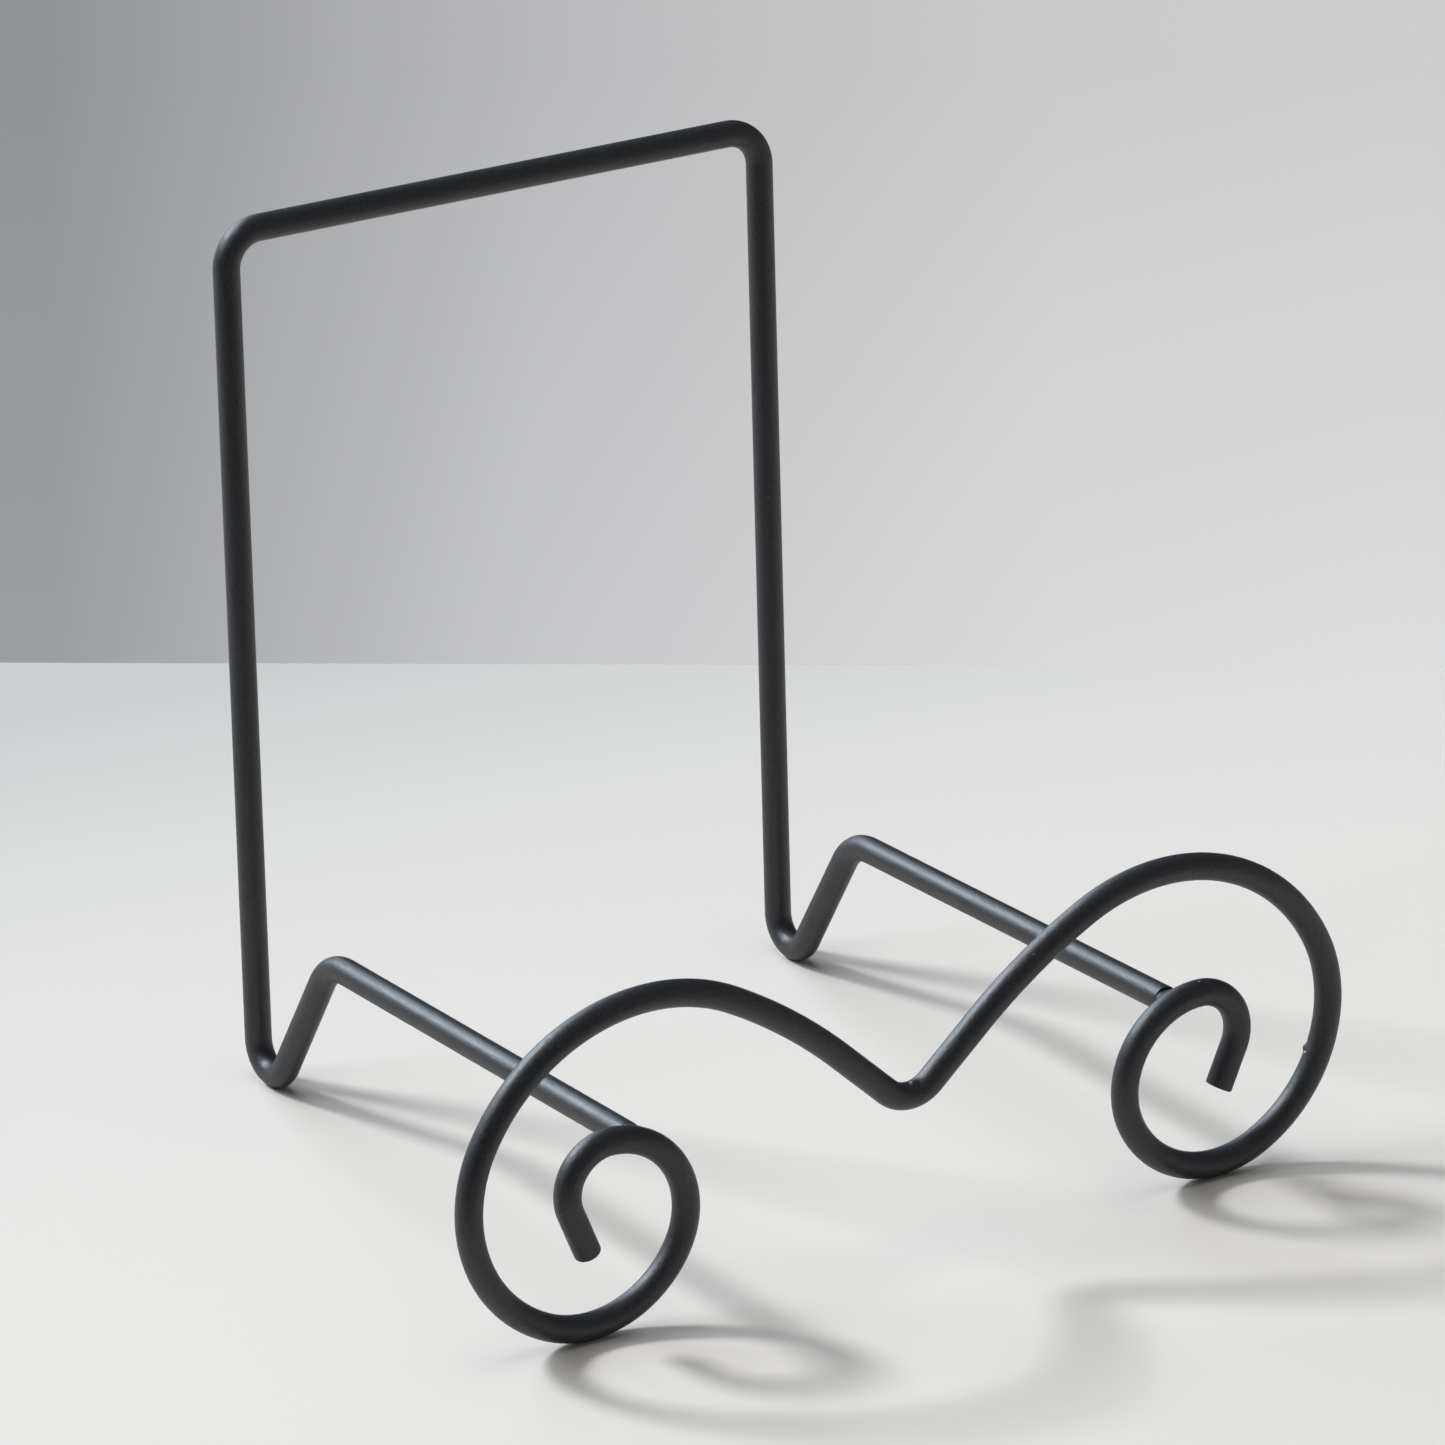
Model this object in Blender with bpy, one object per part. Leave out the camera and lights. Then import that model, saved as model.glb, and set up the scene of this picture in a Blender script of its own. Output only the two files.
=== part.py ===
"""Photo album stand: two bent round steel wires that are welded together and coated black.

The back frame is one wire. From each cut front end a rail runs back, bends down into a short leg,
turns in a V-shaped foot on the table and rises as an upright, and a top bar joins the uprights.
The front scroll is the other wire. It lies in one upright plane and makes a shallow V in the
middle, an arch on each side, and a scroll that touches the table and curls in on itself.
Each rail's cut end is butt-welded to the back of a scroll's inner curl, so the stand has four
feet: two V bends behind and two scroll bottoms in front. Nothing on it moves.

X runs across the stand, Y from front to back and Z up. The origin is on the table, under the
middle of the stand's bounding box. Lengths are in metres and angles in degrees.
"""

import math

import bpy
from mathutils import Vector

MM = 0.001

# The wire and its cross-section
WIRE = 6.35 * MM
SIDES = 12
STEP = 7.5  # turn from one chord of a bend to the next

# The front scroll: half of it, from the middle of the V out to the cut tip
VEE_RADIUS = 8.6 * MM
VEE_RISE = 42.4
VEE_SIDE = 17.1 * MM
SCROLL_BENDS = (
    (137.8 * MM, 14.5),
    (47.5 * MM, 90.4),
    (34.8 * MM, 91.8),
    (25.9 * MM, 88.8),
    (20.1 * MM, 116.0),
    (10.9 * MM, 113.8),
)
TIP = 10.7 * MM

# The back frame: its left half, from a rail's cut end to the top bar
SPACING = 144.3 * MM
RAIL = 128.2 * MM
RAIL_FALL = 2.1
RAIL_RADIUS = 13.8 * MM
LEG_ANGLE = 31.8
FOOT_RADIUS = 6.9 * MM
LEAN = 3.0
CORNER_RADIUS = 8.8 * MM
HEIGHT = 208.1 * MM

# The welds: each nugget fills the middle of the joint between a rail's end and a curl's back
WELD_LENGTH = 1.0 * MM
WELD_WIDTH = 4.6 * MM
WELD_SIDES = 24
GAP = 0.3 * MM

# Distances from the centreline to a straight length's flats, to its edges and to a bend's flats
FLAT = WIRE / 2
CORNER = FLAT / math.cos(math.pi / SIDES)
BEND_FLAT = FLAT * math.cos(math.radians(STEP / 2))

X = Vector((1, 0, 0))
Y = Vector((0, 1, 0))
Z = Vector((0, 0, 1))

COAT = (0.030, 0.031, 0.034)
COAT_ROUGHNESS = 0.42
WELD_ROUGHNESS = 0.55


class Centreline:
    """A wire's centreline, drawn the way a wire bender makes it: straight lengths and bends.

    A plane is its level and its upward direction, and a heading is an angle up from level.
    """

    def __init__(self, start, plane, heading):
        self.plane = plane
        self.heading = heading
        self.points = [start.copy()]

    def along(self, heading):
        level, up = self.plane
        angle = math.radians(heading)
        return level * math.cos(angle) + up * math.sin(angle)

    def straight(self, length):
        self.points.append(self.points[-1] + self.along(self.heading) * length)

    def bend(self, radius, turn):
        """Turn upwards by an angle, or downwards where it is negative."""
        side = math.copysign(1, turn)
        centre = self.points[-1] + side * radius * self.along(self.heading + 90)
        for heading in bend_headings(self.heading, turn):
            self.points.append(centre - side * radius * self.along(heading + 90))
        self.heading += turn

    def turn_plane(self, plane, heading):
        """Go on in another plane that holds the present direction, at its heading there."""
        self.plane = plane
        self.heading = heading


def bend_headings(start, turn):
    """Headings of a bend's points after its first, half a step off the multiples of STEP.

    The chords between them run at multiples of STEP, so the one at the bottom of a foot is level.
    """
    low, high = sorted((start, start + turn))
    steps = range(math.floor(low / STEP), math.ceil(high / STEP))
    inside = [(step + 0.5) * STEP for step in steps]
    inside = [heading for heading in inside if low + STEP / 4 < heading < high - STEP / 4]
    if turn < 0:
        inside.reverse()
    return inside + [start + turn]


def mirrored(point):
    return Vector((-point.x, point.y, point.z))


def scroll_half():
    """The scroll's right half in the plane y = 0, with its lowest chord resting on the table."""
    path = Centreline(Vector(), (X, Z), 0)
    path.bend(VEE_RADIUS, VEE_RISE)
    path.straight(VEE_SIDE)
    for radius, turn in SCROLL_BENDS:
        path.bend(radius, -turn)
    path.straight(TIP)
    points = path.points[1:]
    lift = BEND_FLAT - min(point.z for point in points)
    return [point + lift * Z for point in points]


def curl_at(points, x):
    """Where the inner curl's top passes x: the point there and the wire's direction."""
    chords = zip(points, points[1:])
    start, end = [chord for chord in chords if chord[0].x <= x <= chord[1].x][-1]
    share = (x - start.x) / (end.x - start.x)
    return start.lerp(end, share), (end - start).normalized()


def rail_direction():
    """The way a rail runs back from its cut end, falling slightly."""
    fall = math.radians(RAIL_FALL)
    return Y * math.cos(fall) - Z * math.sin(fall)


def rail_end(curl_point):
    """The middle of the left rail's cut end, a weld's length behind the curl."""
    return mirrored(curl_point) + (FLAT + WELD_LENGTH) * rail_direction()


def foot_corner_height():
    """Height of the corner where the leg's and the upright's straight lines would meet.

    The foot's bend touches both lines, and its lowest chord lies one flat above the table.
    """
    half_angle = math.radians((LEG_ANGLE + LEAN) / 2)
    tilt = math.radians((LEG_ANGLE - LEAN) / 2)
    centre_height = BEND_FLAT + FOOT_RADIUS * math.cos(math.radians(STEP / 2))
    return centre_height - FOOT_RADIUS / math.sin(half_angle) * math.cos(tilt)


def setback(radius, turn):
    """Length that a bend takes off each of the two straight lines it joins."""
    return radius * math.tan(math.radians(abs(turn)) / 2)


def frame_half(start):
    """The back frame's left half, from the rail's cut end to the top bar."""
    leg = math.radians(LEG_ANGLE)
    lean = math.radians(LEAN)
    rail_turn = LEG_ANGLE + RAIL_FALL - 90
    foot_turn = 180 - LEG_ANGLE - LEAN
    leg_top = start + RAIL * rail_direction()
    corner_height = foot_corner_height()
    rail_setback = setback(RAIL_RADIUS, rail_turn)
    foot_setback = setback(FOOT_RADIUS, foot_turn)
    leg_length = (leg_top.z - corner_height) / math.cos(leg)
    upright_length = (HEIGHT - FLAT - corner_height) / math.cos(lean)

    path = Centreline(start, (Y, Z), -RAIL_FALL)
    path.straight(RAIL - rail_setback)
    path.bend(RAIL_RADIUS, rail_turn)
    path.straight(leg_length - rail_setback - foot_setback)
    path.bend(FOOT_RADIUS, foot_turn)
    path.straight(upright_length - foot_setback - CORNER_RADIUS)
    path.turn_plane((X, path.along(path.heading)), 90)
    path.bend(CORNER_RADIUS, -90)
    return path.points


def material(name, roughness):
    """Black powder coat."""
    coat = bpy.data.materials.new(name)
    coat.use_nodes = True
    shader = coat.node_tree.nodes["Principled BSDF"]
    shader.inputs["Base Color"].default_value = (*COAT, 1)
    shader.inputs["Roughness"].default_value = roughness
    shader.inputs["Metallic"].default_value = 0
    return coat


def collection(name):
    group = bpy.data.collections.new(name)
    bpy.context.scene.collection.children.link(group)
    return group


def wire(name, points, tilt, group):
    """A round wire with flat cut ends: a bevelled curve whose flats lie half the wire out."""
    curve = bpy.data.curves.new(name, "CURVE")
    curve.dimensions = "3D"
    curve.twist_mode = "MINIMUM"
    curve.bevel_depth = CORNER
    curve.bevel_resolution = (SIDES - 4) // 2
    curve.use_fill_caps = True
    spline = curve.splines.new("POLY")
    spline.points.add(len(points) - 1)
    for target, point in zip(spline.points, points):
        target.co = (*point, 1)
        target.tilt = math.radians(tilt)
        target.radius = 1
    curve.materials.append(material(name + "_coat", COAT_ROUGHNESS))
    piece = bpy.data.objects.new(name, curve)
    group.objects.link(piece)
    return piece


def cylinder(name, middle, direction, radius, length, group):
    bpy.ops.mesh.primitive_cylinder_add(vertices=WELD_SIDES, radius=radius, depth=length)
    piece = bpy.context.object
    piece.name = name
    piece.location = middle
    piece.rotation_mode = "QUATERNION"
    piece.rotation_quaternion = direction.to_track_quat("Z", "X")
    for old in list(piece.users_collection):
        old.objects.unlink(piece)
    group.objects.link(piece)
    return piece


def weld(name, curl_point, curl_direction, group, cutters):
    """A weld nugget: a short round plug whose front is hollowed to the curl's round back."""
    end = curl_point + (FLAT + WELD_LENGTH - GAP) * rail_direction()
    middle = (curl_point + end) / 2
    length = (end - curl_point).length
    plug = cylinder(name, middle, rail_direction(), WELD_WIDTH / 2, length, group)
    plug.data.materials.append(material(name + "_coat", WELD_ROUGHNESS))
    curl = cylinder(name + "_cutter", curl_point, curl_direction, FLAT + GAP, 3 * WIRE, cutters)
    curl.hide_render = True
    curl.display_type = "WIRE"
    cut = plug.modifiers.new("curl", "BOOLEAN")
    cut.operation = "DIFFERENCE"
    cut.object = curl
    return plug


def build():
    for old in list(bpy.data.objects):
        bpy.data.objects.remove(old)
    stand = collection("photo_album_stand")
    cutters = collection("cutters")

    scroll = scroll_half()
    curl_point, curl_direction = curl_at(scroll, SPACING / 2)
    frame = frame_half(rail_end(curl_point))
    to_middle = -frame[-1].y / 2 * Y

    scroll = [point + to_middle for point in scroll]
    frame = [point + to_middle for point in frame]
    curl_point = curl_point + to_middle

    half_side = 180 / SIDES
    wire("front_scroll", [mirrored(point) for point in reversed(scroll)] + scroll, half_side, stand)
    wire("back_frame", frame + [mirrored(point) for point in reversed(frame)], half_side, stand)
    weld("weld_right", curl_point, curl_direction, stand, cutters)
    weld("weld_left", mirrored(curl_point), mirrored(curl_direction), stand, cutters)


build()
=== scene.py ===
"""Photo album stand of bent steel wire under a satin black powder coat.

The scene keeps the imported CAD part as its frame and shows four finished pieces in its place:
the back frame's wire, the front scroll's wire and the two weld beads between them. Both wires
are swept along the CAD part's bends, with true arcs and a round section. They differ from it in
three small ways: the scroll's left tip is longer and its right tip shorter, the right rail is
bent further down its leg, and the rails' cut ends sink further into their welds.

X runs across the stand, Y from front to back and Z up. Lengths are in metres, angles in degrees.
"""

import math
from collections import namedtuple

import bmesh
import bpy
from mathutils import Matrix, Vector, noise


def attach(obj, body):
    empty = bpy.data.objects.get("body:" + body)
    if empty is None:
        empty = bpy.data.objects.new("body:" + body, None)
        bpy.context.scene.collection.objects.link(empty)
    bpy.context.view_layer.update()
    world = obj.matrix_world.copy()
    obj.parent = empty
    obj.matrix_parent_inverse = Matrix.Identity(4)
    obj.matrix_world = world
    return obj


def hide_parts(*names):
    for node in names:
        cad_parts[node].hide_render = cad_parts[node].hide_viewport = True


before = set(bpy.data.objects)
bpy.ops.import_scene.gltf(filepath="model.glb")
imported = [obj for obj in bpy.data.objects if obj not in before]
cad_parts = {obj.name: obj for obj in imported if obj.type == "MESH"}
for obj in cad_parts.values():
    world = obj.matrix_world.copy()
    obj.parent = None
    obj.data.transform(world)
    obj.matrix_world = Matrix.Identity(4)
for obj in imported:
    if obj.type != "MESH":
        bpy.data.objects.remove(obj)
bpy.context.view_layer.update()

MM = 0.001
X = Vector((1, 0, 0))
Y = Vector((0, 1, 0))
Z = Vector((0, 0, 1))

# The wire, and how finely its surface is divided
WIRE = 6.35 * MM
RADIUS = WIRE / 2
SIDES = 48
BEND_STEP = 2.0  # most degrees of a bend between two rings
RING_STEP = 3.0 * MM  # most length between two rings
RING_GAP = 0.02 * MM  # least length between two rings
FINE_STEP = 0.2 * MM  # ring spacing beside a small feature
FINE_SPAN = 1.6 * MM  # how far that spacing goes to each side of it

# The front scroll: half of it, from the middle of the V out to the cut tip. Each of its bends
# is a radius and a turn.
VEE_RADIUS = 8.6 * MM
VEE_RISE = 42.4
VEE_SIDE = 17.1 * MM
SCROLL_BENDS = (
    (137.8 * MM, 14.5),
    (47.5 * MM, 90.4),
    (34.8 * MM, 91.8),
    (25.9 * MM, 88.8),
    (20.1 * MM, 116.0),
    (10.9 * MM, 113.8),
)
LEFT_TIP = 11.7 * MM
RIGHT_TIP = 10.3 * MM
HALVINGS = 40  # steps of the search for the place where a rail meets the curl

# The back frame: its left half, from a rail's cut end to the middle of the top bar
SPACING = 144.3 * MM
RAIL = 128.2 * MM
RAIL_FALL = 2.1
RAIL_RADIUS = 13.8 * MM
LEG_ANGLE = 31.8
FOOT_RADIUS = 6.9 * MM
LEAN = 3.0
CORNER_RADIUS = 8.8 * MM
HEIGHT = 208.1 * MM
WELD_LENGTH = 1.0 * MM  # from the curl's back to the rail's cut end in the CAD part
RAIL_REACH = 0.85 * MM  # how much further a rail's cut end sinks into its weld
RIGHT_SLIDE = 1.7 * MM  # how much further down its leg the right rail is bent

# Cut ends: how far the edge is rounded over by the shears, the tumbling and the coat, how far
# the middle stands proud, and how far the cut's plane leans
RAIL_CUT = (0.22 * MM, 0.0, 0.0)
LEFT_TIP_CUT = (0.85 * MM, 0.10 * MM, 0.0)
RIGHT_TIP_CUT = (0.32 * MM, 0.03 * MM, 4.0)
END_STEPS = 6  # steps of a rounded edge
END_SHARES = (0.92, 0.75, 0.5, 0.25)  # rings inside the edge, as shares of the flat's radius
END_GAP = 0.3 * MM  # least length between a rounded edge and the next ring

# The V's pinched crease: each lump's place right and front of the middle, reach and height
CREASE = (
    (0.8 * MM, 0.7 * MM, 1.5 * MM, 0.36 * MM),
    (-0.2 * MM, 0.6 * MM, 0.8 * MM, -0.16 * MM),
    (-1.1 * MM, 0.3 * MM, 1.2 * MM, 0.18 * MM),
)

# Marks on the right arch and scroll, at a length along the wire from the middle of the V and a
# turn from its inner side: a nib under the coat, and two pale spots with how strong each one is,
# a painted highlight (a glint) on the nib and a pale speck on the curl's top
NIB_LENGTH = 163.0 * MM
NIB_TURN = 33
NIB_REACH = 1.35 * MM
NIB_HEIGHT = 0.50 * MM
GLINT_AND_SPECK_SPOTS = ((163.9 * MM, 12, 0.9), (269.8 * MM, -171, 0.3))

# Weld beads: nearly flush with the rail's rim, and spread a little along the curl
BEAD_RADIUS = 3.14 * MM
BEAD_SPREAD = 0.9 * MM
BEAD_RIM = 0.985  # most that a bead reaches aside, as a share of the wire's radius
BEAD_WOBBLE = 0.02  # unevenness, as a share of the bead's radius
WOBBLE_TURNS = 2.1  # how often it comes and goes around the bead
WOBBLE_LENGTHS = 3  # and between the curl and the rail
LEFT_NOTCH = 0.0
RIGHT_NOTCH = 0.50 * MM
LEFT_SEED = 8.7
RIGHT_SEED = 3.1

# A bead's profile, from inside the curl to inside the rail: the share of the way between them,
# the depth past that point, and the width as a share of the bead's
BEAD_PROFILE = (
    (0.00, -0.35 * MM, 0.50),
    (0.00, -0.12 * MM, 1.00),
    (0.00, 0.05 * MM, 1.00),
    (0.22, 0.00 * MM, 0.97),
    (0.45, 0.00 * MM, 0.95),
    (0.70, 0.00 * MM, 0.96),
    (0.90, 0.00 * MM, 0.99),
    (1.00, 0.12 * MM, 0.99),
    (1.00, 0.40 * MM, 0.50),
)

# The powder coat: its grain's size, its roughness and its relief on the wires and the welds
WIRE_COAT = (0.32 * MM, 0.45, 1.0)
WELD_COAT = (0.45 * MM, 0.52, 0.9)
COAT_IOR = 1.56
NOISE_RANGE = (0.3, 0.7)  # where nearly all of a noise's values lie
TINT_SIZE = 28 * MM
DARK_TINT = (0.0058, 0.0062, 0.0090)
PALE_TINT = (0.0084, 0.0088, 0.0114)
GRAIN_RANGE = (0.40, 0.72)
GRAIN_SHARE = 0.70
GRAIN_COLOUR = (0.042, 0.044, 0.048)
SPECK_SPACING = 6.5 * MM
SPECK_FEWNESS = 0.80  # the share of places that stay without a speck
SPECK_RANGE = (0.018, 0.034)  # where a speck starts and ends to fade, in spacings
SPECK_SHARE = 0.55
SPECK_COLOUR = (0.30, 0.30, 0.29)
SPOT_FADE_RANGE = (0.16 * MM, 0.36 * MM)  # where a spot starts and ends to fade, the painted glint and the pale speck alike
# The spots' colour: a painted highlight on the nib, and a pale speck on the curl's top
GLINT_AND_SPECK_COLOUR = (0.78, 0.78, 0.76)
GLOSS_SIZE = 9 * MM
GLOSS_SWING = 0.035  # how far the roughness swings over the gloss's size
GRAIN_SWING = 0.06  # and over the grain's
PEEL_SIZE = 1.3 * MM
PEEL_RELIEF = 0.55
GRAIN_RELIEF = 0.5
SPECK_RELIEF = 1.2
RELIEF_HEIGHT = 0.14 * MM

# The camera: a long lens, in front of the stand to its left and above it
CAMERA_AZIMUTH = -32.52
CAMERA_ELEVATION = 21.56
CAMERA_ROLL = 0.18
CAMERA_DISTANCE = 2.4026
CAMERA_TARGET = Vector((-0.0396, -0.0723, 0.1322))
CAMERA_LENS = 271.8
SENSOR = 36.0
CLIP_START = 0.1
CLIP_END = 30

# The floor: its paint darkens away from the camera and to the camera's left, a painted shade where the
# light on the floor falls off
FLOOR_REACH = 6.0
FADE_BACK = 0.87
FADE_LEFT = 0.5
FADE_RANGE = (-0.20, 0.38)
FADE_POWER = 3.5
NEAR_PAINT = (0.706, 0.650, 0.598)
FAR_PAINTED_SHADE = (0.484, 0.461, 0.434)
FLOOR_ROUGHNESS = 0.8
FLOOR_SPECULAR = 0.1

# The walls: each one glows by itself with painted light and shade, brighter to the right and dimmer
# higher up
WALL_BEHIND = 0.375  # from the camera's aim to the wall behind the stand
WALL_REACH = 1.6  # and to the other three
WALL_HEIGHT = 3.0
GLOW_REACH = 0.17  # how far to each side of the aim the tones below run
END_TONES = ((0.338, 0.342, 0.358), (0.722, 0.722, 0.722))
MIDDLE_TONES = ((0.36, (0.568, 0.572, 0.584)), (0.75, (0.704, 0.704, 0.708)))
DIM_HEIGHT = 0.16  # height at which the glow falls to the share below
DIM_SHARE = 0.85

# The black card: it lies just above the floor, between the stand and the camera
CARD_START = 0.13  # from the point below the camera's aim
CARD_REACH = 2.5
CARD_LIFT = 2.0 * MM
FELT_SIZE = 4 * MM
DARK_FELT = (0.02, 0.02, 0.02)
PALE_FELT = (0.03, 0.03, 0.03)

# The world's light: a dim, slightly blue glow that grows towards one side
SKY_TURN = 68
SKY_ELEVATION = 18
SKY_RANGE = (-0.2, 1.0)
SKY_STRENGTH = (0.008, 0.275)
SKY_COLOUR = (0.92, 0.96, 1.0)

# The lamps, all aimed at one point: each lamp's side, and then its distance, width, watts and
# colour
LAMP_TARGET = Vector((0, 0, 0.05))
KEY_SIDE = Vector((-0.6125, 1.0154, 1.0))
KEY_LAMP = (6.4, 1.15, 348.0, (0.89, 0.95, 1.0))
WINDOW_SIDE = Vector((-0.04, 0.91, 0.42))
WINDOW_LAMP = (7.0, 4.4, 290.0, (0.73, 0.865, 1.0))
FILL_TURN = 268
FILL_ELEVATION = 40
FILL_LAMP = (7.0, 4.0, 215.0, (0.80, 0.90, 1.0))
CEILING_LAMP = (6.0, 4.0, 80.0, (1.0, 1.0, 1.0))

# A straight length starts at its origin and has no radius. A bend's origin is its centre, and
# outward leads from there to the bend's start.
Span = namedtuple("Span", "length origin ahead outward radius")


class Path:
    """A wire's centreline as straight lengths and round bends, each known at any length along it.

    A plane is its level and its upward direction, and a heading is an angle up from level.
    """

    def __init__(self, start, plane, heading):
        self.end = start.copy()
        self.plane = plane
        self.heading = heading
        self.spans = []
        self.length = 0.0

    def along(self, heading):
        level, up = self.plane
        angle = math.radians(heading)
        return level * math.cos(angle) + up * math.sin(angle)

    def straight(self, length):
        ahead = self.along(self.heading)
        self.spans.append(Span(length, self.end, ahead, None, 0.0))
        self.end = self.end + ahead * length
        self.length += length

    def bend(self, radius, turn):
        """Turn upwards by an angle, or downwards where it is negative."""
        side = math.copysign(1, turn)
        outward = -side * self.along(self.heading + 90)
        centre = self.end - outward * radius
        length = radius * math.radians(abs(turn))
        self.spans.append(Span(length, centre, self.along(self.heading), outward, radius))
        self.heading += turn
        self.end = centre - side * self.along(self.heading + 90) * radius
        self.length += length

    def turn_plane(self, plane, heading):
        """Go on in another plane that holds the present direction, at its heading there."""
        self.plane = plane
        self.heading = heading

    def at(self, distance):
        """The centreline's point and direction at a length along it."""
        for span in self.spans:
            if distance <= span.length or span is self.spans[-1]:
                break
            distance -= span.length
        if not span.radius:
            return span.origin + span.ahead * distance, span.ahead.copy()
        angle = distance / span.radius
        out = span.outward * math.cos(angle) + span.ahead * math.sin(angle)
        direction = span.ahead * math.cos(angle) - span.outward * math.sin(angle)
        return span.origin + out * span.radius, direction

    def stations(self, features=()):
        """Lengths at which rings are set, closer together in bends and beside small features."""
        found = {0.0, self.length}
        start = 0.0
        for span in self.spans:
            step = RING_STEP
            if span.radius:
                step = min(step, span.radius * math.radians(BEND_STEP))
            count = max(1, math.ceil(span.length / step))
            found.update(start + span.length * i / count for i in range(count + 1))
            start += span.length
        count = round(FINE_SPAN / FINE_STEP)
        for middle in features:
            found.update(middle + FINE_STEP * i for i in range(-count, count + 1))
        ordered = []
        for station in sorted(found):
            if 0 <= station <= self.length and (not ordered or station - ordered[-1] > RING_GAP):
                ordered.append(station)
        return ordered


def mirrored(vector):
    return Vector((-vector.x, vector.y, vector.z))


def other_half(half):
    """The mirrored half of a wire, in the order that leads up to the start of the first."""
    return [(mirrored(point), -mirrored(ahead)) for point, ahead in reversed(half)]


def in_place(path, shift, features=()):
    """A path's points and directions at its stations, moved by a shift."""
    found = []
    for length in path.stations(features):
        point, ahead = path.at(length)
        found.append((point + shift, ahead))
    return found


def scroll_path(tip, lift=0.0):
    """Half of the scroll on the right, in the plane y = 0, from the middle of the V to its tip."""
    path = Path(Vector((0, 0, lift)), (X, Z), 0)
    path.bend(VEE_RADIUS, VEE_RISE)
    path.straight(VEE_SIDE)
    for radius, turn in SCROLL_BENDS:
        path.bend(radius, -turn)
    path.straight(tip)
    return path


def scroll_lift():
    """How far the scroll is lifted to rest on the floor."""
    path = scroll_path(RIGHT_TIP)
    return RADIUS - min(path.at(length)[0].z for length in path.stations())


def curl_at(path, x):
    """Where the inner curl's top passes x: the point there and the wire's direction.

    The search is between the middle of the fifth bend and the end of the sixth.
    """
    *before, fifth, _, tip = [span.length for span in path.spans]
    low = sum(before) + fifth / 2
    high = path.length - tip
    for _ in range(HALVINGS):
        middle = (low + high) / 2
        if path.at(middle)[0].x < x:
            low = middle
        else:
            high = middle
    return path.at(low)


def on_surface(path, shift, length, turn):
    """A point on a scroll's surface: a length along the wire and a turn from its inner side."""
    point, ahead = path.at(length)
    turn = math.radians(turn)
    return point + shift + (Y.cross(ahead) * math.cos(turn) + Y * math.sin(turn)) * RADIUS


def rail_direction():
    """The way a rail runs back from its weld, falling slightly."""
    fall = math.radians(RAIL_FALL)
    return Y * math.cos(fall) - Z * math.sin(fall)


def setback(radius, turn):
    """Length that a bend takes off each of the two straight lines it joins."""
    return radius * math.tan(math.radians(abs(turn)) / 2)


def frame_path(start, slide):
    """Half of the back frame on the left, from the rail's cut end to the middle of the top bar.

    The rail's bend is made a slide further down the leg's line than the CAD part has it.
    """
    leg = math.radians(LEG_ANGLE)
    lean = math.radians(LEAN)
    foot_turn = 180 - LEG_ANGLE - LEAN
    half_angle = (leg + lean) / 2
    tilt = (leg - lean) / 2
    corner_height = RADIUS + FOOT_RADIUS - FOOT_RADIUS / math.sin(half_angle) * math.cos(tilt)
    leg_top = start + RAIL * rail_direction() + slide * (Y * math.sin(leg) - Z * math.cos(leg))
    rail = leg_top - start
    rail_fall = math.degrees(math.atan2(-rail.z, rail.y))
    rail_turn = LEG_ANGLE + rail_fall - 90
    rail_setback = setback(RAIL_RADIUS, rail_turn)
    foot_setback = setback(FOOT_RADIUS, foot_turn)
    leg_length = (leg_top.z - corner_height) / math.cos(leg)
    upright_length = (HEIGHT - RADIUS - corner_height) / math.cos(lean)

    path = Path(start - RAIL_REACH * rail.normalized(), (Y, Z), -rail_fall)
    path.straight(RAIL_REACH + rail.length - rail_setback)
    path.bend(RAIL_RADIUS, rail_turn)
    path.straight(leg_length - rail_setback - foot_setback)
    path.bend(FOOT_RADIUS, foot_turn)
    path.straight(upright_length - foot_setback - CORNER_RADIUS)
    path.turn_plane((X, path.along(path.heading)), 90)
    path.bend(CORNER_RADIUS, -90)
    path.straight(SPACING / 2 - CORNER_RADIUS)
    return path


def finished(name, mesh):
    data = bpy.data.meshes.new(name)
    mesh.to_mesh(data)
    mesh.free()
    data.polygons.foreach_set("use_smooth", [True] * len(data.polygons))
    piece = bpy.data.objects.new(name, data)
    bpy.context.scene.collection.objects.link(piece)
    return piece


def flat_sheet(name, corners):
    mesh = bmesh.new()
    mesh.faces.new([mesh.verts.new(corner) for corner in corners])
    return finished(name, mesh)


def lump(mesh, middle, reach, height):
    """Raise the surface within reach of a point into a small round lump, or sink it."""
    mesh.normal_update()
    moves = []
    for vertex in mesh.verts:
        away = (vertex.co - middle).length
        if away < reach:
            share = 1 - (away / reach) ** 2
            moves.append((vertex, vertex.normal * height * share * share))
    for vertex, move in moves:
        vertex.co += move


def closed_skin(name, rings, lumps=()):
    """A piece whose surface runs through rings of points and closes in a fan over each end."""
    mesh = bmesh.new()
    rows = [[mesh.verts.new(point) for point in ring] for ring in rings]
    for low, high in zip(rows, rows[1:]):
        for i in range(SIDES):
            j = (i + 1) % SIDES
            mesh.faces.new((low[i], low[j], high[j], high[i]))
    for row in (rows[0], rows[-1]):
        middle = mesh.verts.new(sum((vertex.co for vertex in row), Vector()) / SIDES)
        for i in range(SIDES):
            mesh.faces.new((row[i], row[(i + 1) % SIDES], middle))
    for middle, reach, height in lumps:
        lump(mesh, middle, reach, height)
    bmesh.ops.recalc_face_normals(mesh, faces=mesh.faces)
    return finished(name, mesh)


def sections(stations):
    """A pair of directions across the wire at each station, carried along without twist.

    Here and below, a station is a point of the centreline and its direction there.
    """
    ahead = stations[0][1]
    across = ahead.orthogonal().normalized()
    pairs = []
    for _, direction in stations:
        across = ahead.rotation_difference(direction) @ across
        across = (across - direction * across.dot(direction)).normalized()
        ahead = direction
        pairs.append((across.copy(), direction.cross(across)))
    return pairs


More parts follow.
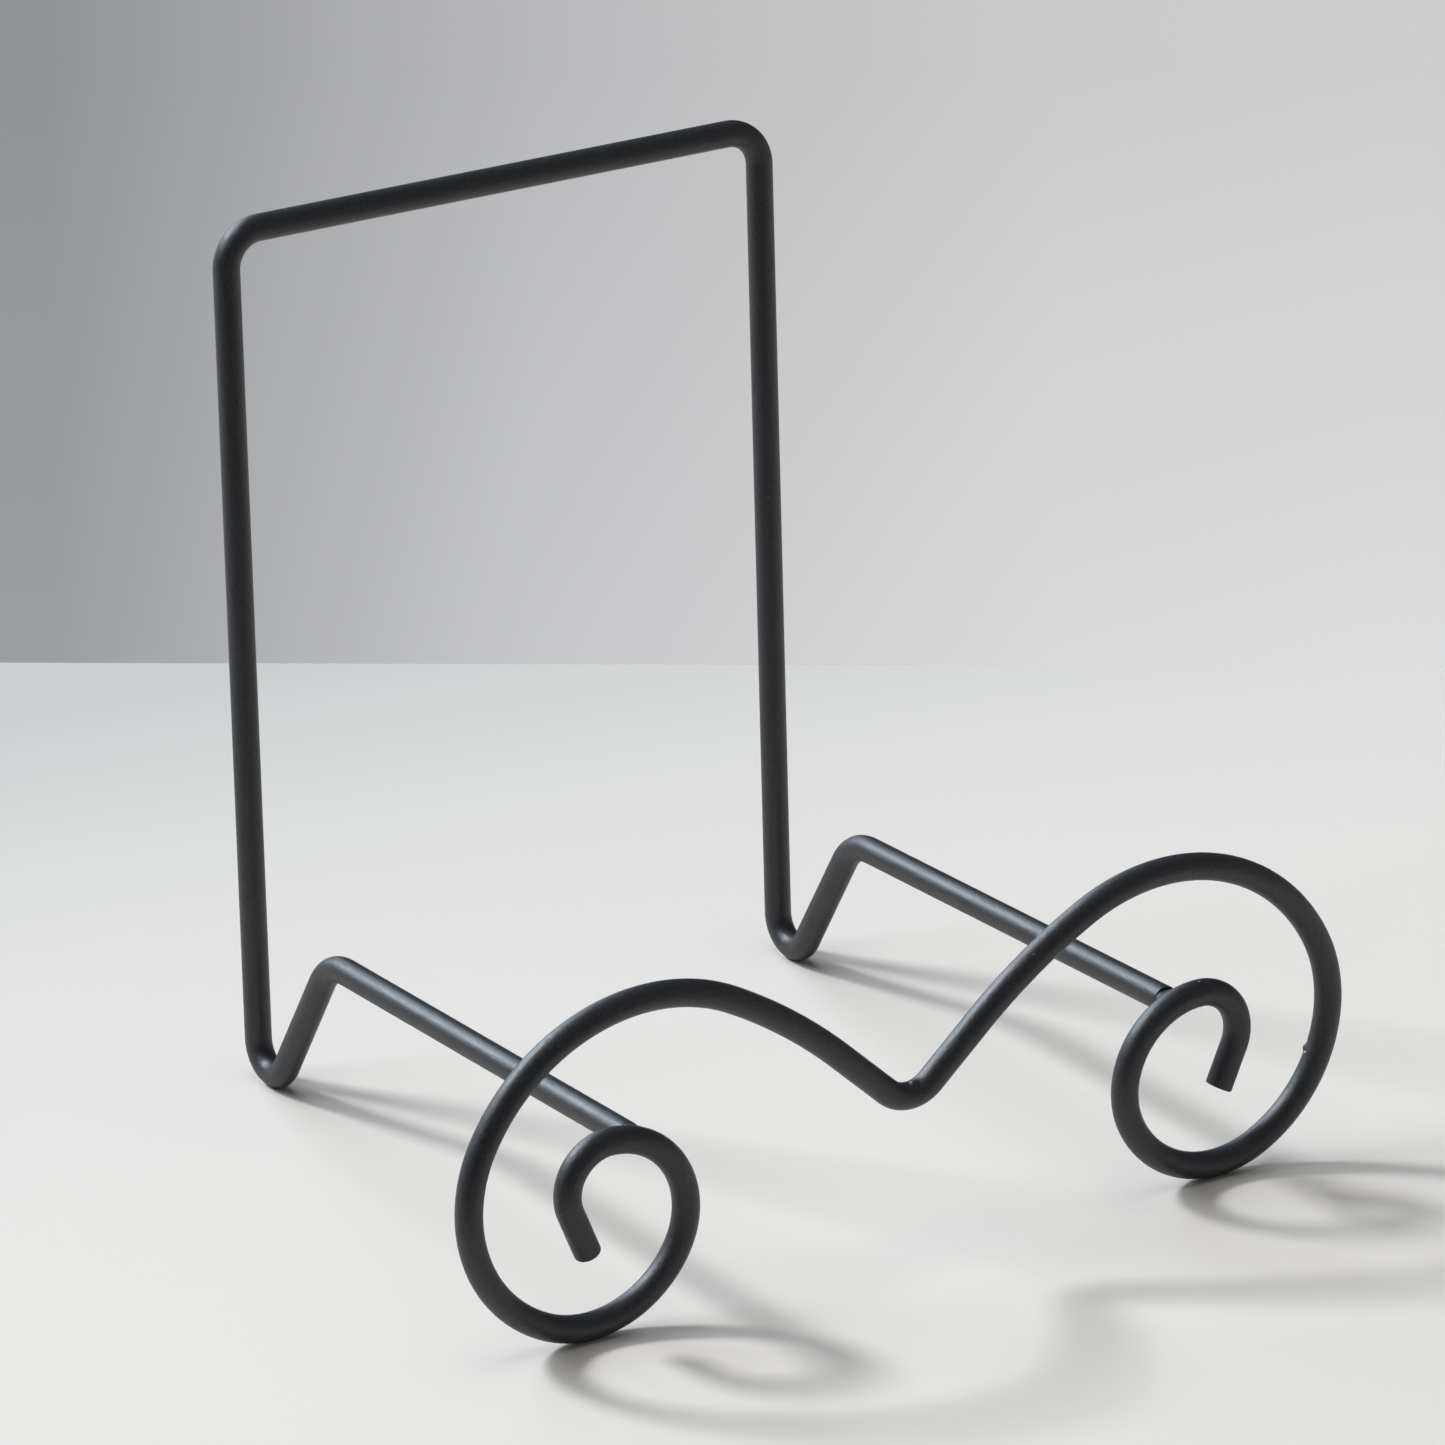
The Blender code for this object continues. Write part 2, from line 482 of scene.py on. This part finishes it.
def cut_end(rounding, crown):
    """Rings that round over a cut edge and close in on its middle: radius and length beyond."""
    rings = []
    for i in range(END_STEPS + 1):
        angle = math.radians(90 * i / END_STEPS)
        rings.append((RADIUS - rounding * (1 - math.cos(angle)), rounding * (math.sin(angle) - 1)))
    flat = RADIUS - rounding
    for share in END_SHARES:
        rings.append((flat * share, crown * (1 - share * share)))
    return rings


def wire_piece(name, stations, start_cut, finish_cut, lumps=()):
    """A round wire swept along its stations, with both ends cut and rounded over.

    Each cut is (rounding, crown, slant): the slant is the lean of the cut's plane.
    """
    pairs = sections(stations)
    last = len(stations) - 1

    def ring(index, radius, beyond, slant):
        point, ahead = stations[index]
        across, over = pairs[index]
        row = []
        for i in range(SIDES):
            angle = math.tau * i / SIDES
            out = across * math.cos(angle) + over * math.sin(angle)
            lean = math.tan(math.radians(slant)) * out.x * radius
            row.append(point + out * radius + ahead * (beyond + lean))
        return row

    lengths = [0.0]
    for (a, _), (b, _) in zip(stations, stations[1:]):
        lengths.append(lengths[-1] + (b - a).length)

    start_rounding, start_crown, start_slant = start_cut
    finish_rounding, finish_crown, finish_slant = finish_cut
    rings = []
    for radius, beyond in reversed(cut_end(start_rounding, start_crown)):
        rings.append(ring(0, radius, -beyond, start_slant))
    for index in range(1, last):
        clear_of_start = lengths[index] > start_rounding + END_GAP
        clear_of_finish = lengths[-1] - lengths[index] > finish_rounding + END_GAP
        if clear_of_start and clear_of_finish:
            rings.append(ring(index, RADIUS, 0.0, 0.0))
    for radius, beyond in cut_end(finish_rounding, finish_crown):
        rings.append(ring(last, radius, beyond, finish_slant))
    return closed_skin(name, rings, lumps)


def weld_bead(name, curl_point, curl_direction, seed, notch):
    """A weld bead that fills the joint between a rail's flat end and the round back of a curl.

    It spreads further along the curl than across it, where the round wire falls away, and it
    stops short of the rail's rim by a notch at the top.
    """
    back = rail_direction()
    across = curl_direction.cross(back).normalized()
    rail_back = RADIUS + WELD_LENGTH - RAIL_REACH
    rings = []
    for share, depth, width in BEAD_PROFILE:
        ring = []
        for i in range(SIDES):
            angle = math.tau * i / SIDES
            out = curl_direction * math.cos(angle) + across * math.sin(angle)
            spread = BEAD_SPREAD * (1 - share) ** 2 * math.cos(angle) ** 2
            reach = (BEAD_RADIUS - notch * max(0.0, out.z) ** 2 + spread) * width
            spot = out * WOBBLE_TURNS + Vector((seed, share * WOBBLE_LENGTHS, width))
            reach *= 1 + BEAD_WOBBLE * noise.noise(spot)
            aside = min(abs(out.dot(across)) * reach, RADIUS * BEAD_RIM)
            curl_back = math.sqrt(RADIUS * RADIUS - aside * aside)
            along = curl_back + (rail_back - curl_back) * share + depth
            ring.append(curl_point + out * reach + back * along)
        rings.append(ring)
    return closed_skin(name, rings)


class Nodes:
    """Builds a material's or a world's nodes from left to right."""

    def __init__(self, owner):
        owner.use_nodes = True
        self.tree = owner.node_tree
        self.coordinates = self.node("ShaderNodeTexCoord").outputs
        self.place = self.coordinates["Object"]

    def node(self, kind, **settings):
        made = self.tree.nodes.new(kind)
        for key, value in settings.items():
            setattr(made, key, value)
        return made

    def link(self, source, target):
        self.tree.links.new(source, target)

    def noise(self, size, detail=2.0, roughness=0.5):
        """Noise whose features are about a size across, in metres."""
        made = self.node("ShaderNodeTexNoise")
        self.link(self.place, made.inputs["Vector"])
        made.inputs["Scale"].default_value = 1 / size
        made.inputs["Detail"].default_value = detail
        made.inputs["Roughness"].default_value = roughness
        return made.outputs["Fac"]

    def spread(self, source, source_range, result_range):
        """A value that goes from one result to the other as its source crosses a range."""
        made = self.node("ShaderNodeMapRange")
        self.link(source, made.inputs["Value"])
        labels = ("From Min", "From Max", "To Min", "To Max")
        for label, value in zip(labels, (*source_range, *result_range)):
            made.inputs[label].default_value = value
        return made.outputs["Result"]

    def distance_along(self, source, direction):
        made = self.node("ShaderNodeVectorMath", operation="DOT_PRODUCT")
        self.link(source, made.inputs[0])
        made.inputs[1].default_value = direction
        return made.outputs["Value"]

    def distance_to(self, point):
        made = self.node("ShaderNodeVectorMath", operation="DISTANCE")
        self.link(self.place, made.inputs[0])
        made.inputs[1].default_value = point
        return made.outputs["Value"]

    def maths(self, operation, first, second):
        made = self.node("ShaderNodeMath", operation=operation)
        for slot, value in zip(made.inputs, (first, second)):
            if isinstance(value, (int, float)):
                slot.default_value = value
            else:
                self.link(value, slot)
        return made.outputs["Value"]

    def blend(self, factor, first, second):
        """A colour between two others, each of which is a colour or a node's output."""
        made = self.node("ShaderNodeMix", data_type="RGBA")
        values = (("Factor", "VALUE", factor), ("A", "RGBA", first), ("B", "RGBA", second))
        for label, kind, value in values:
            slot = next(s for s in made.inputs if s.name == label and s.type == kind)
            if isinstance(value, tuple):
                slot.default_value = (*value, 1)
            else:
                self.link(value, slot)
        return next(s for s in made.outputs if s.type == "RGBA")


def powder_coat(name, grain, roughness, relief, glint_and_speck_spots=()):
    """Satin black powder coat: fine grain, orange peel, slow changes of gloss, a few dust specks.

    Each spot is its place and how strong it is there: the nib's painted highlight and a pale speck on
    the curl.
    """
    material = bpy.data.materials.new(name)
    coat = Nodes(material)
    shader = coat.tree.nodes["Principled BSDF"]
    fine = coat.noise(grain, detail=3.0, roughness=0.6)

    tint = coat.spread(coat.noise(TINT_SIZE, detail=3.0), NOISE_RANGE, (0.0, 1.0))
    colour = coat.blend(tint, DARK_TINT, PALE_TINT)
    colour = coat.blend(coat.spread(fine, GRAIN_RANGE, (0.0, GRAIN_SHARE)), colour, GRAIN_COLOUR)

    cells = coat.node("ShaderNodeTexVoronoi")
    coat.link(coat.place, cells.inputs["Vector"])
    cells.inputs["Scale"].default_value = 1 / SPECK_SPACING
    chosen = coat.node("ShaderNodeSeparateColor")
    coat.link(cells.outputs["Color"], chosen.inputs["Color"])
    rare = coat.maths("GREATER_THAN", chosen.outputs["Red"], SPECK_FEWNESS)
    near = coat.spread(cells.outputs["Distance"], SPECK_RANGE, (SPECK_SHARE, 0.0))
    speck = coat.maths("MULTIPLY", rare, near)
    colour = coat.blend(speck, colour, SPECK_COLOUR)
    # Painted highlight: the nib's spot is a glint painted pale into the coat; the curl's is a pale
    # speck
    for point, share in glint_and_speck_spots:
        spot_share = coat.spread(coat.distance_to(point), SPOT_FADE_RANGE, (share, 0.0))
        colour = coat.blend(spot_share, colour, GLINT_AND_SPECK_COLOUR)
    coat.link(colour, shader.inputs["Base Color"])

    swing = (roughness - GLOSS_SWING, roughness + GLOSS_SWING)
    gloss = coat.spread(coat.noise(GLOSS_SIZE), NOISE_RANGE, swing)
    grain_gloss = coat.spread(fine, NOISE_RANGE, (-GRAIN_SWING, GRAIN_SWING))
    coat.link(coat.maths("ADD", gloss, grain_gloss), shader.inputs["Roughness"])

    height = coat.maths("MULTIPLY", coat.noise(PEEL_SIZE), PEEL_RELIEF)
    height = coat.maths("ADD", height, coat.maths("MULTIPLY", fine, GRAIN_RELIEF))
    height = coat.maths("ADD", height, coat.maths("MULTIPLY", speck, SPECK_RELIEF))
    bump = coat.node("ShaderNodeBump")
    bump.inputs["Strength"].default_value = relief
    bump.inputs["Distance"].default_value = RELIEF_HEIGHT
    coat.link(height, bump.inputs["Height"])
    coat.link(bump.outputs["Normal"], shader.inputs["Normal"])
    shader.inputs["IOR"].default_value = COAT_IOR
    return material


def dress(piece, material, node):
    piece.data.materials.append(material)
    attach(piece, "root")
    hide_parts(node)


def build_stand():
    """The two wires and the weld beads, each in place of its CAD node."""
    lift = scroll_lift()
    right_scroll = scroll_path(RIGHT_TIP, lift)
    left_scroll = scroll_path(LEFT_TIP, lift)
    curl_point, curl_direction = curl_at(right_scroll, SPACING / 2)
    rail_end = mirrored(curl_point) + (RADIUS + WELD_LENGTH) * rail_direction()
    left_frame = frame_path(rail_end, 0.0)
    right_frame = frame_path(rail_end, RIGHT_SLIDE)
    shift = -left_frame.end.y / 2 * Y
    curl_point = curl_point + shift

    crease = shift + (lift + RADIUS) * Z
    nib = on_surface(right_scroll, shift, NIB_LENGTH, NIB_TURN)
    lumps = [(crease + X * right - Y * front, reach, height) for right, front, reach, height in CREASE]
    lumps.append((nib, NIB_REACH, NIB_HEIGHT))
    # The nib's painted glint and the curl's pale speck, as places on the wire
    glint_and_speck_spots = [(on_surface(right_scroll, shift, length, turn), spot_share) for length, turn, spot_share in GLINT_AND_SPECK_SPOTS]

    right_half = in_place(right_scroll, shift, (0.0, NIB_LENGTH))
    left_half = in_place(left_scroll, shift, (0.0,))
    scroll_stations = other_half(left_half)[:-1] + right_half
    front_scroll = wire_piece("front_scroll_wire", scroll_stations, LEFT_TIP_CUT, RIGHT_TIP_CUT, lumps)

    frame_stations = in_place(left_frame, shift) + other_half(in_place(right_frame, shift))[1:]
    back_frame = wire_piece("back_frame_wire", frame_stations, RAIL_CUT, RAIL_CUT)

    bead_right = weld_bead("weld_bead_right", curl_point, curl_direction, RIGHT_SEED, RIGHT_NOTCH)
    left_point = mirrored(curl_point)
    left_direction = mirrored(curl_direction)
    bead_left = weld_bead("weld_bead_left", left_point, left_direction, LEFT_SEED, LEFT_NOTCH)

    dress(back_frame, powder_coat("frame_powder_coat", *WIRE_COAT), "back_frame")
    scroll_coat = powder_coat("scroll_powder_coat", *WIRE_COAT, glint_and_speck_spots)
    dress(front_scroll, scroll_coat, "front_scroll")
    weld_coat = powder_coat("weld_powder_coat", *WELD_COAT)
    dress(bead_right, weld_coat, "weld_right")
    dress(bead_left, weld_coat, "weld_left")


def camera_axes():
    """The camera's right, upward and backward directions."""
    azimuth = math.radians(CAMERA_AZIMUTH)
    elevation = math.radians(CAMERA_ELEVATION)
    roll = math.radians(CAMERA_ROLL)
    level = math.cos(elevation)
    back = Vector((math.sin(azimuth) * level, -math.cos(azimuth) * level, math.sin(elevation)))
    right = Z.cross(back).normalized()
    up = back.cross(right)
    return (
        right * math.cos(roll) + up * math.sin(roll),
        up * math.cos(roll) - right * math.sin(roll),
        back,
    )


# The room stands square to the camera, around the point of the floor below its aim
CAMERA_RIGHT, CAMERA_UP, CAMERA_BACK = camera_axes()
LEVEL_BACK = Vector((CAMERA_BACK.x, CAMERA_BACK.y, 0)).normalized()
LEVEL_RIGHT = Vector((CAMERA_RIGHT.x, CAMERA_RIGHT.y, 0)).normalized()
GROUND = Vector((CAMERA_TARGET.x, CAMERA_TARGET.y, 0))


def room_point(right, back, height=0.0):
    """A point by how far it is right of the room's middle, towards the camera and up."""
    return GROUND + LEVEL_RIGHT * right + LEVEL_BACK * back + Z * height


def camera_side(turn, elevation):
    """A direction by its turn from the camera's side towards the camera's right."""
    turn = math.radians(turn)
    elevation = math.radians(elevation)
    level = LEVEL_BACK * math.cos(turn) + LEVEL_RIGHT * math.sin(turn)
    return level * math.cos(elevation) + Z * math.sin(elevation)


def make_camera():
    data = bpy.data.cameras.new("camera")
    data.sensor_width = SENSOR
    data.lens = CAMERA_LENS
    data.clip_start = CLIP_START
    data.clip_end = CLIP_END
    camera = bpy.data.objects.new("camera", data)
    turn = Matrix((CAMERA_RIGHT, CAMERA_UP, CAMERA_BACK)).transposed().to_4x4()
    camera.matrix_world = Matrix.Translation(CAMERA_TARGET + CAMERA_BACK * CAMERA_DISTANCE) @ turn
    bpy.context.scene.collection.objects.link(camera)
    bpy.context.scene.camera = camera


def rectangle(width, far, near):
    """A rectangle's corners, a width to each side of the room's middle, from far to near."""
    return ((-width, far), (width, far), (width, near), (-width, near))


def make_floor():
    plan = rectangle(FLOOR_REACH, -FLOOR_REACH, FLOOR_REACH)
    floor = flat_sheet("floor", [room_point(*corner) for corner in plan])
    material = bpy.data.materials.new("floor_paint")
    paint = Nodes(material)
    shader = paint.tree.nodes["Principled BSDF"]
    # Painted shade: the floor's colour darkens to the back and left, as the light on it does
    direction = -FADE_BACK * LEVEL_BACK - FADE_LEFT * LEVEL_RIGHT
    middle = GROUND.dot(direction)
    reach = [middle + end for end in FADE_RANGE]
    fade = paint.spread(paint.distance_along(paint.place, direction), reach, (0.0, 1.0))
    fade = paint.maths("POWER", fade, FADE_POWER)
    paint.link(paint.blend(fade, NEAR_PAINT, FAR_PAINTED_SHADE), shader.inputs["Base Color"])
    shader.inputs["Roughness"].default_value = FLOOR_ROUGHNESS
    shader.inputs["Specular IOR Level"].default_value = FLOOR_SPECULAR
    floor.data.materials.append(material)


def wall_painted_light(name):
    """A wall's own glow, painted light and shade, on the side that faces the room, and nothing on the
    other.
    """
    material = bpy.data.materials.new(name)
    paint = Nodes(material)
    paint.tree.nodes.remove(paint.tree.nodes["Principled BSDF"])
    middle = GROUND.dot(LEVEL_RIGHT)
    reach = (middle - GLOW_REACH, middle + GLOW_REACH)
    across = paint.spread(paint.distance_along(paint.place, LEVEL_RIGHT), reach, (0.0, 1.0))
    shade = paint.node("ShaderNodeValToRGB")
    tones = shade.color_ramp.elements
    for end, tone in zip(tones, END_TONES):
        end.color = (*tone, 1)
    for stop, tone in MIDDLE_TONES:
        tones.new(stop).color = (*tone, 1)
    paint.link(across, shade.inputs["Fac"])
    split = paint.node("ShaderNodeSeparateXYZ")
    paint.link(paint.place, split.inputs[0])
    # Painted light and shade: the glow's tones brighten to the right and its strength dims higher up
    strength = paint.spread(split.outputs["Z"], (0.0, DIM_HEIGHT), (1.0, DIM_SHARE))

    glow = paint.node("ShaderNodeEmission")
    paint.link(shade.outputs["Color"], glow.inputs["Color"])
    paint.link(strength, glow.inputs["Strength"])
    clear = paint.node("ShaderNodeBsdfTransparent")
    side = paint.node("ShaderNodeNewGeometry")
    mix = paint.node("ShaderNodeMixShader")
    paint.link(side.outputs["Backfacing"], mix.inputs["Fac"])
    paint.link(glow.outputs[0], mix.inputs[1])
    paint.link(clear.outputs[0], mix.inputs[2])
    paint.link(mix.outputs[0], paint.tree.nodes["Material Output"].inputs["Surface"])
    return material


def make_walls():
    """Four plain walls around the stand, which only the camera sees, and only from inside."""
    corners = [room_point(*corner) for corner in rectangle(WALL_REACH, -WALL_BEHIND, WALL_REACH)]
    for index, (a, b) in enumerate(zip(corners, corners[1:] + corners[:1])):
        wall = flat_sheet("wall_%d" % index, [a, b, b + Z * WALL_HEIGHT, a + Z * WALL_HEIGHT])
        inward = GROUND - (a + b) / 2
        if wall.data.polygons[0].normal.dot(inward) < 0:
            wall.data.flip_normals()
        wall.data.materials.append(wall_painted_light("wall_paint_%d" % index))
        wall.visible_shadow = False
        wall.visible_diffuse = False
        wall.visible_glossy = False


def make_card():
    """A black card in front of the stand, which only the coat's reflections see."""
    plan = rectangle(CARD_REACH, CARD_START, CARD_REACH)
    card = flat_sheet("black_card", [room_point(*corner, CARD_LIFT) for corner in plan])
    material = bpy.data.materials.new("card_felt")
    felt = Nodes(material)
    shader = felt.tree.nodes["Principled BSDF"]
    felt.link(felt.blend(felt.noise(FELT_SIZE), DARK_FELT, PALE_FELT), shader.inputs["Base Color"])
    shader.inputs["Roughness"].default_value = 1.0
    card.data.materials.append(material)
    card.visible_camera = False
    card.visible_diffuse = False
    card.visible_shadow = False


def make_sky():
    world = bpy.data.worlds.new("room")
    sky = Nodes(world)
    background = sky.tree.nodes["Background"]
    side = camera_side(SKY_TURN, SKY_ELEVATION)
    towards = sky.distance_along(sky.coordinates["Generated"], side)
    sky.link(sky.spread(towards, SKY_RANGE, SKY_STRENGTH), background.inputs["Strength"])
    background.inputs["Color"].default_value = (*SKY_COLOUR, 1)
    bpy.context.scene.world = world
    bpy.context.scene.view_settings.view_transform = "Standard"


def area_light(name, side, distance, width, power, colour):
    """A round lamp that shines on the stand from one side, with its power in watts."""
    data = bpy.data.lights.new(name, "AREA")
    data.shape = "DISK"
    data.size = width
    data.energy = power
    data.color = colour
    light = bpy.data.objects.new(name, data)
    place = side.normalized()
    light.location = LAMP_TARGET + place * distance
    light.rotation_mode = "QUATERNION"
    light.rotation_quaternion = (-place).to_track_quat("-Z", "Y")
    bpy.context.scene.collection.objects.link(light)
    return light


def make_lamps():
    """A small key lamp and three wide, soft ones. The coat doesn't reflect the ceiling's."""
    area_light("key", KEY_SIDE, *KEY_LAMP)
    area_light("window", WINDOW_SIDE, *WINDOW_LAMP)
    area_light("fill", camera_side(FILL_TURN, FILL_ELEVATION), *FILL_LAMP)
    ceiling = area_light("ceiling", Z, *CEILING_LAMP)
    ceiling.visible_glossy = False


build_stand()
make_camera()
make_floor()
make_walls()
make_card()
make_sky()
make_lamps()
